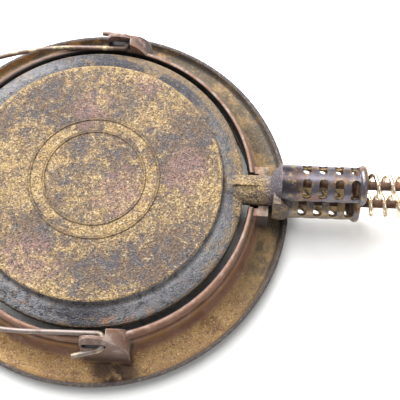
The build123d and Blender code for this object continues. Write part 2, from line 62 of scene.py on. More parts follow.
# the base: a rim, a gutter, a collar with a saddle for the handles, and two ears with slots
RIM_Z = PARTING_Z - 0.0230
UNDER_Z = RIM_Z / 2  # below it everything is dark
CREASE_R = 0.1080  # where the gutter meets the foot of the collar
COLLAR_IN_R = PADDLE_R + 0.0038
COLLAR_OUT_R = COLLAR_IN_R + 0.0038
COLLAR_R = (COLLAR_IN_R + COLLAR_OUT_R) / 2
COLLAR_TOP = PARTING_Z + 0.0014
POST_TOP = PARTING_Z - 0.0010
EAR_X = BAIL_X + 0.0012  # middle of an ear
EAR_HALF = 0.0165  # half of its length, with its fillets
SLOT_X = BAIL_X - 0.0049  # middle of the slot in an ear
SLOT_HALF = 0.0045  # half of the slot's straight part
SLOT_R = 0.0026

# stains on the face of a paddle: x, y and width in metres
GREY_STAINS = (
    (-0.028, 0.056, 0.026),
    (0.022, 0.058, 0.020),
    (-0.006, 0.044, 0.012),
    (-0.032, -0.040, 0.018),
    (0.012, -0.062, 0.026),
    (-0.014, 0.019, 0.009),
    (0.052, -0.050, 0.020),
    (0.050, 0.020, 0.022),
    (0.014, 0.016, 0.014),
    (0.066, 0.036, 0.012),
    (-0.060, 0.040, 0.014),
    (-0.004, -0.022, 0.006),
)
GOLD_STAINS = (
    (0.006, 0.076, 0.030),
    (-0.055, 0.000, 0.024),
    (-0.020, -0.074, 0.016),
    (0.020, -0.077, 0.016),
    (-0.026, 0.014, 0.010),
    (0.074, -0.010, 0.012),
    (0.030, 0.042, 0.016),
)
BLUSH_STAINS = (
    (0.017, -0.011, 0.018),
    (-0.037, -0.058, 0.020),
    (-0.006, 0.050, 0.012),
    (0.058, 0.006, 0.016),
    (0.030, 0.072, 0.012),
)

# dark patches of painted shade in the gutter, beyond the far ear and below the near one: x, y and width
# in metres
FAR_EAR_SHADE = (0.006, 0.1150, 0.012)
NEAR_EAR_SHADES = ((0.012, -0.1145, 0.009), (0.027, -0.1120, 0.009), (0.019, -0.1205, 0.005))

# where in the noise each paddle starts, so that the two don't look alike
PADDLE_SEEDS = {"lower": 17.0, "upper": 0.4}
# each ferrule: its start in the noise, the noise above which yellow film shows, and its blue tint; the
# lower one's lower film limit and weak tint lighten it as painted light in the upper one's shade, and
# the upper one's strong tint is partly painted shade
FERRULE_LOOKS = {"lower": (0.0, 0.41, 0.2), "upper": (7.0, 0.50, 0.9)}

# the stage, in metres; a lamp is a name, the setting with its power, its width and its place
FLOOR_WIDTH = 12.0
NEAREST_SEEN = 0.01
SENSOR_MM = 36.0
LAMPS = (
    ("key_lamp", "key", 0.8, (-0.50, 1.00, 0.95)),
    ("top_lamp", "top", 1.1, (-0.20, 0.35, 1.45)),
    ("fill_lamp", "fill", 0.5, (0.90, -0.60, 0.90)),
)


# --------------------------------------------------------------- properties
def colour(name, text, value):
    """A colour that the user may change."""
    return bpy.props.FloatVectorProperty(
        name=name, description=text, subtype="COLOR", size=3, min=0.0, max=1.0, default=value
    )


def amount(name, text, value, high=1.0):
    """A plain factor that the user may change."""
    return bpy.props.FloatProperty(name=name, description=text, default=value, min=0.0, max=high)


def length(name, text, value):
    """A length in metres that the user may change."""
    return bpy.props.FloatProperty(
        name=name, description=text, default=value, min=0.0, subtype="DISTANCE", unit="LENGTH"
    )


def angle(name, text, degrees):
    """An angle that the user may change."""
    return bpy.props.FloatProperty(
        name=name, description=text, default=math.radians(degrees), subtype="ANGLE", unit="ROTATION"
    )


def power(name, text, watts):
    """The power of a lamp."""
    return bpy.props.FloatProperty(name=name, description=text, default=watts, min=0.0, unit="POWER")


class StageSettings(bpy.types.PropertyGroup):
    """Camera, lights and floor."""

    eye: bpy.props.FloatVectorProperty(
        name="Camera place",
        description="Where the camera stands",
        subtype="TRANSLATION",
        unit="LENGTH",
        size=3,
        default=(0.0770, -0.2287, 0.5708),
    )
    tilt: angle("Tilt", "How far the camera looks away from straight down", 22.386)
    turn: angle("Turn", "How far the camera is turned about the upright", 2.5)
    lens: amount("Lens", "Focal length in millimetres on a 36 mm sensor", 81.68, high=300.0)
    floor: colour("Floor", "Colour of the floor", (0.90, 0.90, 0.89))
    sky: amount("Sky", "Strength of the even light from all round", 0.42, high=5.0)
    key: power("Key light", "Power of the large lamp beyond the object", 46.0)
    top: power("Top light", "Power of the broad lamp overhead", 26.0)
    fill: power("Fill light", "Power of the small lamp on the near side", 2.0)


class PaddleFinish(bpy.types.PropertyGroup):
    """The paddles: seasoned iron, under a dry ochre bloom on the outside."""

    iron: colour("Iron", "Bare seasoned iron of the face", (0.088, 0.084, 0.092))
    # slate is also laid on the near side of the flange as painted shade
    slate: colour("Slate", "Dark blue-grey of the flange", (0.042, 0.041, 0.049))
    # on the hinge side of the flange this grey is partly painted light
    silver: colour("Silver", "Rubbed light grey of the flange", (0.205, 0.205, 0.218))
    ochre: colour("Ochre", "Dry rust bloom", (0.232, 0.158, 0.086))
    gold: colour("Gold", "Brightest yellow bloom", (0.440, 0.305, 0.130))
    # umber also darkens corners and crevices as painted shade
    umber: colour("Umber", "Brown rust in the pits", (0.052, 0.030, 0.019))
    steel: colour("Blue steel", "Blue-grey of the handle root", (0.100, 0.096, 0.125))
    tan: colour("Tan", "Brown wash between bloom and iron", (0.150, 0.098, 0.062))
    pale: colour("Pale", "Dry cream grains", (0.490, 0.430, 0.340))
    copper: colour("Copper", "Orange-brown rust on the dark flange", (0.290, 0.150, 0.080))
    blush: colour("Blush", "Purple-pink heat stain", (0.245, 0.150, 0.135))
    seasoning: colour("Seasoning", "Black of the cooking side", (0.020, 0.017, 0.016))
    patch: length("Patch size", "Typical width of a bloom patch", 0.030)
    grain: length("Grain size", "Width of the speckle", 0.0022)
    relief: length("Relief", "Height of the cast skin", 0.00105)


class BaseFinish(bpy.types.PropertyGroup):
    """The base ring: brown collar, golden gutter and dark rim."""

    collar: colour("Collar", "Pinkish brown of the collar", (0.215, 0.114, 0.072))
    gutter: colour("Gutter", "Golden tan of the near gutter", (0.450, 0.285, 0.120))
    # olive is painted shade on the far gutter and on the far outer half of the crest
    olive: colour("Olive", "Dull olive brown of the far gutter", (0.066, 0.053, 0.038))
    rust: colour("Rust", "Red-brown patches", (0.130, 0.055, 0.030))
    cream: colour("Cream", "Pale sand grains in the gutter", (0.700, 0.550, 0.340))
    amber: colour("Amber", "Bright orange patches", (0.260, 0.130, 0.028))
    # rim grey also darkens crevices, the post sides and the far ear as painted shade
    rim: colour("Rim", "Dark grey of the rim and the underside", (0.052, 0.046, 0.050))
    # umber is painted shade at the foot of the ears and in the gutter below the near one
    umber: colour("Umber", "Dark brown at the foot of the ears", (0.062, 0.034, 0.024))
    # the inner wall is darkened as soot and painted shade
    soot: colour("Soot", "Slate of the inner wall", (0.033, 0.037, 0.041))
    # black painted shade on the far inner wall, in the slots and beyond the far ear
    char: colour("Char", "Black of the inner wall on the far side", (0.006, 0.005, 0.005))
    ear: colour("Ears", "Grey-brown of the bail ears", (0.150, 0.098, 0.080))
    # pale is laid on edges, the crest and the post tops as wear and painted highlight
    pale: colour("Pale wear", "Rubbed edges", (0.340, 0.275, 0.245))
    relief: length("Relief", "Height of the cast skin", 0.00045)


class FerruleFinish(bpy.types.PropertyGroup):
    """Vented ferrules: tarnished steel with heat colours."""

    steel: colour("Steel", "Purple-grey tarnish", (0.120, 0.112, 0.138))
    brown: colour("Brown", "Brown heat patches", (0.150, 0.075, 0.045))
    # this blue-black is partly painted shade at the handle root
    blued: colour("Blued", "Blue-black heat tint by the castings", (0.038, 0.038, 0.052))
    # this colour also darkens crevices as painted shade
    soot: colour("Soot", "Dark brown soot inside", (0.030, 0.018, 0.012))
    # straw is also painted light on the bore
    straw: colour("Straw", "Yellow oil patches", (0.340, 0.240, 0.110))
    patch: length("Patch size", "Typical width of a patch", 0.012)


class CoilFinish(bpy.types.PropertyGroup):
    """Coil grips: plated spring wire."""

    plate: colour("Plate", "Bright plating", (0.900, 0.760, 0.580))
    stain: colour("Stain", "Brown film in the plating", (0.330, 0.170, 0.060))


class FittingFinish(bpy.types.PropertyGroup):
    """Rods, nuts, washers and the hinge pin: rusted steel."""

    rust: colour("Rust", "Dark rust", (0.056, 0.030, 0.018))
    crust: colour("Crust", "Orange crust", (0.173, 0.079, 0.034))


class BailFinish(bpy.types.PropertyGroup):
    """The wire bail."""

    wire: colour("Wire", "Brown-grey drawn wire", (0.178, 0.141, 0.125))
    straw: colour("Straw", "Rubbed yellow highlights", (0.400, 0.322, 0.178))
    rust: colour("Rust", "Brown rust in the wire", (0.088, 0.048, 0.032))


# ------------------------------------------------------------------ shading
COLOUR_RESULT = 2  # the Mix node's colour output: its outputs all have the same name
RAY_SAMPLES = 4  # rays that judge each crevice and each rounded edge


class Value:
    """A number in a material: arithmetic on it adds Math nodes."""

    def __init__(self, paint, socket):
        self.paint = paint
        self.socket = socket

    def math(self, operation, *others):
        """One Math node with this value first."""
        return self.paint.number("ShaderNodeMath", {"operation": operation}, self, *others)

    def __add__(self, other):
        return self.math("ADD", other)

    def __radd__(self, other):
        return self.math("ADD", other)

    def __sub__(self, other):
        return self.math("SUBTRACT", other)

    def __rsub__(self, other):
        return self.paint.number("ShaderNodeMath", {"operation": "SUBTRACT"}, other, self)

    def __mul__(self, other):
        return self.math("MULTIPLY", other)

    def __rmul__(self, other):
        return self.math("MULTIPLY", other)

    def __truediv__(self, other):
        return self.math("DIVIDE", other)

    def __abs__(self):
        return self.math("ABSOLUTE")

    def smooth(self, low, high):
        """0 below low and 1 above high, with a soft step between; high may be the smaller."""
        if high < low:
            return 1 - self.smooth(high, low)
        settings = {"interpolation_type": "SMOOTHSTEP"}
        return self.paint.number("ShaderNodeMapRange", settings, self, low, high)

    def near(self, centre, width):
        """A soft bump of 1 at centre that reaches 0 at width to either side."""
        return abs(self - centre).smooth(width, 0.0)


class Paint:
    """A node material for one finish, read in object coordinates."""

    def __init__(self, name):
        self.material = bpy.data.materials.new(name)
        self.material.use_nodes = True
        self.tree = self.material.node_tree
        self.shader = self.tree.nodes["Principled BSDF"]
        self.place = self.node("ShaderNodeTexCoord", {}, output="Object")
        split = self.node("ShaderNodeSeparateXYZ", {}, self.place, output=None)
        self.x, self.y, self.z = (Value(self, split.outputs[axis]) for axis in "XYZ")
        self.radius = (self.x * self.x + self.y * self.y).math("SQRT")

    def node(self, kind, settings, *inputs, output=0, named=None):
        """Add a node, make its settings, fill its sockets in order and by name, and give one output."""
        node = self.tree.nodes.new(kind)
        for key, value in settings.items():
            setattr(node, key, value)
        sockets = [socket for socket in node.inputs if socket.enabled]
        pairs = list(zip(sockets, inputs))
        pairs += [(node.inputs[key], value) for key, value in (named or {}).items()]
        for socket, value in pairs:
            self.fill(socket, value)
        return node if output is None else node.outputs[output]

    def fill(self, socket, value):
        """Link a value or socket to a socket, or set it to a plain number, colour or vector."""
        if isinstance(value, Value):
            self.tree.links.new(value.socket, socket)
        elif isinstance(value, bpy.types.NodeSocket):
            self.tree.links.new(value, socket)
        elif socket.type == "RGBA":
            socket.default_value = (*value, 1.0)
        else:
            socket.default_value = value

    def number(self, kind, settings, *inputs, output=0, named=None):
        """A node whose output is used as a number."""
        return Value(self, self.node(kind, settings, *inputs, output=output, named=named))

    def noise(self, size, detail=4.0, rough=0.55, bend=0.0, shift=0.0):
        """Fractal noise, 0 to 1, whose largest features are about size metres across."""
        place = self.place
        if shift:
            place = self.node("ShaderNodeVectorMath", {"operation": "ADD"}, place, (shift,) * 3)
        named = {"Vector": place, "Scale": 1.0 / size, "Detail": detail, "Roughness": rough}
        named["Distortion"] = bend
        return self.number("ShaderNodeTexNoise", {}, output="Fac", named=named)

    def grit(self, size, shift=0.0, contrast=2.4):
        """Fine noise about size metres across, spread out to fill 0 to 1."""
        return (self.noise(size, detail=2.0, rough=0.6, shift=shift) - 0.5) * contrast + 0.5

    def crevice(self, reach):
        """0 in the open and 1 deep in a corner, judged over a reach in metres."""
        settings, named = {"samples": RAY_SAMPLES}, {"Distance": reach}
        return 1 - self.number("ShaderNodeAmbientOcclusion", settings, output="AO", named=named)

    def rounded(self, width):
        """The surface normal with every edge rounded off by width metres."""
        settings, named = {"samples": RAY_SAMPLES}, {"Radius": width}
        return self.node("ShaderNodeBevel", settings, output="Normal", named=named)

    def worn_edge(self, width):
        """0 on open faces and up to 1 along the edges, within width metres of them."""
        normals = self.rounded(width), self.node("ShaderNodeNewGeometry", {}, output="Normal")
        settings = {"operation": "DOT_PRODUCT"}
        likeness = self.number("ShaderNodeVectorMath", settings, *normals, output="Value")
        return (1 - likeness).smooth(0.02, 0.20)

    def stain(self, x, y, width, ragged):
        """A patch around a place seen from above, 1 in its middle, with a ragged edge."""
        across, along = self.x - x, self.y - y
        away = (across * across + along * along).math("SQRT")
        return (away / width + ragged).smooth(1.3, 0.35)

    def mix(self, factor, first, second):
        """A colour between two colours."""
        settings = {"data_type": "RGBA", "clamp_factor": True}
        return self.node("ShaderNodeMix", settings, factor, first, second, output=COLOUR_RESULT)

    def layers(self, ground, *coats):
        """Lay coats of (mask, colour) over a ground colour, one after another."""
        for mask, shade in coats:
            ground = self.mix(mask, ground, shade)
        return ground

    def surface(self, base, rough, metal=0.0, bump=None, depth=0.0, specular=0.5, edge=0.0):
        """Set the shader's colour, roughness and relief, and round off its edges."""
        self.fill(self.shader.inputs["Base Color"], base)
        self.fill(self.shader.inputs["Roughness"], rough)
        self.fill(self.shader.inputs["Metallic"], metal)
        self.shader.inputs["Specular IOR Level"].default_value = specular
        if bump is not None:
            named = {"Height": bump, "Distance": depth, "Strength": 1.0}
            if edge:
                named["Normal"] = self.rounded(edge)
            relief = self.node("ShaderNodeBump", {}, output="Normal", named=named)
            self.fill(self.shader.inputs["Normal"], relief)
        return self.material


# ----------------------------------------------------------------- finishes
def coat(material, *nodes):
    """Give CAD nodes a material in place of their plain one."""
    for name in nodes:
        for slot in frame["nodes"][name].material_slots:
            slot.material = material


def total(values):
    """Add values up, from the first."""
    first, *others = values
    for value in others:
        first = first + value
    return first


def paddle_grain(paint, finish, seed):
    """The noises of a paddle's cast skin, from broad patches down to dust."""
    patch, grain = finish.patch, finish.grain
    return SimpleNamespace(
        big=paint.noise(patch, detail=5.0, rough=0.62, bend=0.5, shift=seed),
        small=paint.noise(patch / 4.0, detail=5.0, rough=0.68, bend=0.3, shift=seed + 3.1),
        wash=paint.noise(patch / 2.5, detail=5.0, rough=0.7, bend=0.8, shift=seed + 14.3),
        haze=paint.noise(grain * 2.2, detail=4.0, rough=0.7, shift=seed + 11.9),
        grain=paint.noise(grain, detail=3.0, rough=0.75, shift=seed + 5.7),
        fleck=paint.noise(grain * 0.8, detail=3.0, rough=0.75, shift=seed + 8.3),
        sand=paint.grit(grain * 0.55, shift=seed + 1.7),
        dust=paint.grit(grain * 0.40, shift=seed + 2.9),
    )


def paddle_zones(paint):
    """Masks for the parts and the sides of a paddle, each 1 where its name says."""
    x, y, radius = paint.x, paint.y, paint.radius
    height = abs(paint.z - PARTING_Z)
    face = radius.smooth(FACE_R + 0.0002, FACE_R - 0.0008)
    past_face = radius.smooth(FACE_R - 0.0011, FACE_R - 0.0001)
    cavity_height = height.smooth(CAVITY_H + 0.0003, CAVITY_H - 0.0001)
    return SimpleNamespace(
        face=face,
        band=radius.near(sum(RING_RADII) / 2, 0.0048).smooth(0.0, 0.4) * face,
        lip=radius.near(FACE_R - 0.0017, 0.0022) * face,
        shoulder=radius.near(FACE_R - 0.0001, 0.0009),
        groove=radius.near(FACE_R + 0.0009, 0.0017),
        flange=past_face * x.smooth(PADDLE_R - 0.0045, PADDLE_R - 0.0080),
        outer=radius.smooth(PADDLE_R - 0.0070, PADDLE_R - 0.0040),
        edge=radius.near(PADDLE_R - 0.0002, 0.0011),
        inside=cavity_height * radius.smooth(CAVITY_R + 0.0002, CAVITY_R - 0.0002),
        arm=x.smooth(PADDLE_R - 0.0050, PADDLE_R),
        arm_end=x.smooth(ROOT_X - 0.0055, ROOT_X + 0.0015),
        off_cheek=y.smooth(-0.0140, -0.0080),
        # painted shade: this mask darkens the near side of the flange, which faces away from the lamps
        near_side=(x * 0.45 - y).smooth(-0.010, 0.075) * x.smooth(0.075, 0.020),
        hinge_side=(y * 0.75 - x).smooth(0.045, 0.100),
        near_hinge=(0 - x - y * 0.6).smooth(0.050, 0.085),
        near_handle=(x - y).near(0.118, 0.030) * 0.8,
        far_side=(y + x * 0.5).smooth(0.055, 0.090),
        handle_side=x.smooth(0.055, 0.075) * y.near(0.030, 0.050),
    )


def face_skin(paint, finish, cast, zone):
    """Stained iron under an ochre bloom; gives the skin and the mask of the bloom."""
    ragged = (cast.small - 0.5) * 2.4 + (cast.big - 0.5) * 1.2
    greys, golds, blush = (
        total(paint.stain(*place, ragged) for place in places)
        for places in (GREY_STAINS, GOLD_STAINS, BLUSH_STAINS)
    )
    tone = cast.big * 0.45 + cast.small * 0.55 + golds * 0.10 - greys * 0.13
    tone = tone + zone.band * 0.09 + zone.lip * 0.10 + zone.arm * 0.04 - zone.arm_end * 0.10
    tone = tone + (cast.haze - 0.5) * 0.45 + (cast.grain - 0.5) * 0.25
    bloom = tone.smooth(0.34, 0.64)
    bright = ((tone - 0.5) * 1.6 + cast.sand * 0.55).smooth(0.14, 0.72)
    clean_arm = zone.arm_end * zone.off_cheek * cast.haze.smooth(0.34, 0.48)
    skin = paint.layers(
        finish.iron,
        (zone.arm_end * 0.85, finish.steel),
        (cast.wash.smooth(0.44, 0.56) * 0.70, finish.tan),
        (bloom * 0.92, finish.ochre),
        (blush.smooth(0.1, 0.9) * cast.haze.smooth(0.34, 0.52) * 0.80, finish.blush),
        (bright * 0.90, finish.gold),
        (cast.fleck.smooth(0.53, 0.66) * 0.40, finish.copper),
        (clean_arm * 0.90, finish.steel),
        (cast.sand.smooth(0.58, 0.92) * (bloom * 0.48 + 0.20), finish.pale),
        (cast.dust.smooth(0.48, 0.12) * (0.88 - bloom * 0.12), finish.umber),
        (cast.sand.smooth(0.40, 0.05) * 0.50, finish.iron),
        (cast.grain.smooth(0.44, 0.32) * 0.75, finish.umber),
    )
    return skin, bloom


def flange_skin(paint, finish, cast, zone):
    """Slate, silver and ochre of the sloping flange, over wear that differs from side to side; the near
    side is darker as painted shade and the hinge side greyer, partly as painted light.
    """
    crust = cast.big * 0.45 + cast.small * 0.55
    corners = zone.near_hinge.math("MAXIMUM", zone.near_handle)
    tone = crust + zone.outer * (0.12 - zone.hinge_side * 0.14)
    tone = tone - zone.near_side * 0.110 - zone.hinge_side * 0.08
    tone = tone + (cast.haze - 0.5) * 0.35 - corners * 0.05
    far_hinge = zone.hinge_side * zone.far_side
    burnt = cast.wash.smooth(0.52, 0.42) * cast.haze.smooth(0.54, 0.44)
    rusty = cast.wash.smooth(0.52, 0.62) * cast.small.smooth(0.44, 0.58)
    kept = 0.80 - zone.near_side * 0.40 - zone.near_handle * 0.3
    return paint.layers(
        finish.iron,
        # partly painted light: rubbed silver grey laid on the hinge side, which faces the lamps
        (zone.hinge_side * cast.haze.smooth(0.36, 0.52) * 0.75, finish.silver),
        (far_hinge * cast.small.smooth(0.42, 0.56) * 0.8, finish.slate),
        (zone.far_side * cast.small.smooth(0.30, 0.50) * 0.85, finish.slate),
        # painted shade: slate laid over the near side of the flange
        (zone.near_side * 0.96, finish.slate),
        (corners * cast.haze.smooth(0.36, 0.54) * 0.85, finish.silver),
        (zone.near_handle * cast.haze.smooth(0.30, 0.46) * 0.55, finish.silver),
        (zone.handle_side * cast.haze.smooth(0.36, 0.52) * 0.45, finish.silver),
        (zone.near_side * burnt * 0.7, finish.seasoning),
        (tone.smooth(0.48, 0.62) * kept, finish.ochre),
        ((cast.fleck + crust - 0.5).smooth(0.56, 0.72) * (0.50 - zone.near_side * 0.35), finish.gold),
        (zone.near_side * rusty * 0.85, finish.copper),
        (cast.sand.smooth(0.62, 1.00) * 0.55, finish.silver),
        (cast.dust.smooth(0.48, 0.10) * 0.60, finish.slate),
        (cast.grain.smooth(0.43, 0.31) * 0.70, finish.slate),
    )


def paddle_paint(name, finish, seed):
    """Seasoned iron with a dry ochre bloom, a dark flange and a black cooking side."""
    paint = Paint(name)
    cast = paddle_grain(paint, finish, seed)
    zone = paddle_zones(paint)
    skin, bloom = face_skin(paint, finish, cast, zone)
    inner_edges, outer_edges = (
        total(paint.radius.near(ring + side, 0.0007) for ring in RING_RADII)
        for side in (-RING_EDGE, RING_EDGE)
    )
    shades = paint.layers(
        skin,
        (zone.flange, flange_skin(paint, finish, cast, zone)),
        (zone.shoulder * cast.haze.smooth(0.40, 0.55) * zone.flange * 0.7, finish.silver),
        # painted shade: the groove darker on the near side
        (zone.groove * zone.near_side * 0.4, finish.slate),
        (zone.edge * cast.haze.smooth(0.42, 0.58) * 0.65, finish.ochre),
        ((inner_edges + outer_edges) * zone.face * 0.62, finish.umber),
        # edge wear and painted highlight: gold along the edges
        (paint.worn_edge(0.0010) * cast.haze.smooth(0.38, 0.52) * 0.45, finish.gold),
        # painted shade: corners and crevices darkened with the umber colour
        (paint.crevice(0.006).smooth(0.25, 0.75) * 0.75, finish.umber),
        (zone.inside * 0.96, finish.seasoning),
    )
    dry = bloom * (1 - zone.flange)
    rough = 0.62 + dry * 0.20 - zone.flange * zone.near_side * 0.20 - zone.inside * 0.26
    rough = rough + (cast.sand - 0.5) * 0.2
    bump = cast.small * 0.8 + cast.grain * 0.9 + cast.sand * 0.55 + cast.dust * 0.32
    bump = bump * (1 - zone.arm_end * 0.6)
    return paint.surface(shades, rough, bump=bump, depth=finish.relief, specular=0.22, edge=0.0008)


def base_grain(paint):
    """The noises of the base's cast skin, from broad patches down to dust."""
    return SimpleNamespace(
        big=paint.noise(0.030, detail=5.0, rough=0.6, bend=0.6, shift=2.3),
        streak=paint.noise(0.016, detail=4.0, rough=0.6, shift=9.7),
        small=paint.noise(0.008, detail=5.0, rough=0.68, bend=0.3, shift=4.9),
        grain=paint.noise(0.0022, detail=3.0, rough=0.75, shift=7.1),
        fleck=paint.noise(0.0018, detail=3.0, rough=0.75, shift=1.3),
        sand=paint.grit(0.0011, shift=3.3),
        dust=paint.grit(0.0010, shift=5.9),
    )


def slot_zone(paint):
    """1 in the walls of the slots through the ears."""
    across = (abs(paint.x - SLOT_X) - SLOT_HALF).math("MAXIMUM", 0.0)
    rise = paint.z - BAIL_Z
    away = (across * across + rise * rise).math("SQRT")
    past_collar = paint.radius.smooth(COLLAR_OUT_R - 0.0016, COLLAR_OUT_R - 0.0008)
    return away.smooth(SLOT_R + 0.0008, SLOT_R + 0.0001) * past_collar


def base_zones(paint):
    """Masks for the parts and the sides of the base, each 1 where its name says."""
    x, y, radius, height = paint.x, paint.y, paint.radius, paint.z
    ear = (EAR_HALF - abs(x - EAR_X)).smooth(0.0, 0.0014)
    ear = ear * abs(y).smooth(COLLAR_IN_R - 0.0008, COLLAR_IN_R + 0.0007)
    ear = ear * height.smooth(RIM_Z + 0.0015, RIM_Z + 0.0045)
    crest_height = height.smooth(COLLAR_TOP - 0.0019, COLLAR_TOP - 0.0002)
    crest_out = radius.smooth(COLLAR_OUT_R - 0.0020, COLLAR_OUT_R - 0.0008)
    inner_wall = radius.smooth(COLLAR_IN_R + 0.0010, COLLAR_IN_R + 0.0003)
    saddle = x.smooth(ROOT_X - 0.0083, ROOT_X - 0.0073) * abs(y).smooth(0.0240, 0.0215)
    return SimpleNamespace(
        ear=ear,
        slot=slot_zone(paint),
        gutter=radius.smooth(CREASE_R - 0.0018, CREASE_R + 0.0020) * (1 - ear),
        wall_foot=radius.smooth(CREASE_R + 0.0050, CREASE_R),
        crest=radius.near(COLLAR_R, 0.0023) * crest_height,
        crest_out=crest_out * radius.smooth(COLLAR_OUT_R + 0.0006, COLLAR_OUT_R + 0.0002),
        under_bead=radius.near(COLLAR_OUT_R + 0.0012, 0.0011) * (1 - ear),
        inner=inner_wall * height.smooth(COLLAR_TOP + 0.0008, COLLAR_TOP - 0.0004),
        saddle=saddle * height.smooth(RIM_Z + 0.0010, RIM_Z + 0.0030),
        rim=radius.smooth(BASE_R - 0.0034, BASE_R - 0.0022),
        rim_foot=radius.near(BASE_R - 0.0042, 0.0014),
        # the far side, where the gutter and the foot of the rim are painted darker as shade
        far=(y + x * 0.9).smooth(-0.020, 0.075),
        far_hinge=(y - x).smooth(0.055, 0.120),
        beyond=(y + x * 0.6).smooth(-0.010, 0.035),
    )


def collar_skin(paint, finish, cast):
    """Pinkish brown rust of the collar, and the ground for the rest of the base."""
    return paint.layers(
        finish.collar,
        (cast.streak.smooth(0.48, 0.62) * 0.55, finish.rust),
        (cast.small.smooth(0.54, 0.66) * 0.30, finish.pale),
        (cast.small.smooth(0.44, 0.34) * 0.40, finish.rust),
        (cast.grain.smooth(0.44, 0.32) * 0.40, finish.rim),
    )


def gutter_coats(paint, finish, cast, zone):
    """Coats for the gutter: golden and sandy on the near side, darker olive on the far side as painted
    shade, and painted shade below the near ear.
    """
    blotch = cast.big * 0.5 + cast.small * 0.5
    ragged = (cast.small - 0.5) * 2.4
    below_ear = total(paint.stain(*place, ragged) for place in NEAR_EAR_SHADES)
    near_gutter = paint.layers(
        finish.gutter,
        (cast.streak.smooth(0.46, 0.60) * 0.35, finish.collar),
        (blotch.smooth(0.50, 0.62) * 0.65, finish.rust),
        (zone.wall_foot * cast.small.smooth(0.44, 0.58) * 0.6, finish.amber),
        ((cast.sand * 0.6 + cast.fleck * 0.4).smooth(0.56, 0.84) * 0.75, finish.cream),
        (cast.dust.smooth(0.46, 0.10) * 0.75, finish.rust),
        (cast.grain.smooth(0.45, 0.34) * 0.60, finish.rim),
        # painted shade below the near ear
        (below_ear * 0.85, finish.umber),
    )
    far_gutter = paint.layers(
        finish.olive,
        (blotch.smooth(0.46, 0.60) * 0.5, finish.gutter),
        (cast.grain.smooth(0.46, 0.34) * 0.5, finish.rim),
        (cast.sand.smooth(0.65, 1.0) * 0.35, finish.gutter),
        # painted shade beyond the far ear
        (paint.stain(*FAR_EAR_SHADE, ragged) * 0.95, finish.char),
    )
    far_hinge = zone.gutter * zone.far_hinge
    return (
        (zone.gutter, near_gutter),
        # painted shade: the olive far gutter stands for the shade of the collar
        (zone.gutter * zone.far * 0.95, far_gutter),
        (far_hinge * cast.small.smooth(0.44, 0.60) * 0.85, finish.amber),
        (far_hinge * (cast.small * 0.5 + cast.streak * 0.5).smooth(0.50, 0.60) * 0.8, finish.gutter),
        (zone.under_bead * cast.streak.smooth(0.40, 0.60) * 0.6, finish.amber),
    )


def crest_coats(paint, finish, cast, zone):
    """Coats for the top of the collar: pale wear and painted highlight on the crest, rusty near, olive
    painted shade on its far outer half, and umber far.
    """
    outside = zone.crest_out * zone.beyond * (1 - zone.ear)
    outside = outside * paint.z.smooth(PARTING_Z - 0.0050, PARTING_Z - 0.0020)
    nearer = zone.crest * (1 - zone.beyond)
    return (
        # pale on the crest: rubbed wear and painted highlight
        (zone.crest * (cast.small * 0.6 + cast.grain * 0.4).smooth(0.46, 0.62) * 0.5, finish.pale),
        # painted shade: olive on the outer half of the crest on the far side
        (outside * 0.80, finish.olive),
        (nearer * cast.streak.smooth(0.52, 0.42) * 0.75, finish.rust),
        (zone.crest * zone.far_hinge * 0.75, finish.umber),
    )


def ear_coats(paint, finish, cast, zone):
    """Coats for the two ears: grey-brown and rubbed, with painted shade beyond and at their foot."""
    far_ear = zone.ear * paint.y.smooth(0.0, 0.01)
    return (
        (zone.ear * 0.75, finish.ear),
        (zone.ear * cast.streak.smooth(0.44, 0.58) * 0.6, finish.rust),
        (zone.ear * cast.small.smooth(0.50, 0.62) * 0.5, finish.pale),
        # painted shade: the far ear darkened with the rim grey
        (far_ear * cast.small.smooth(0.52, 0.42) * 0.85, finish.rim),
        # painted shade: each ear darker towards its foot
        (zone.ear * paint.z.smooth(PARTING_Z, RIM_Z + 0.0060) * 0.95, finish.umber),
    )


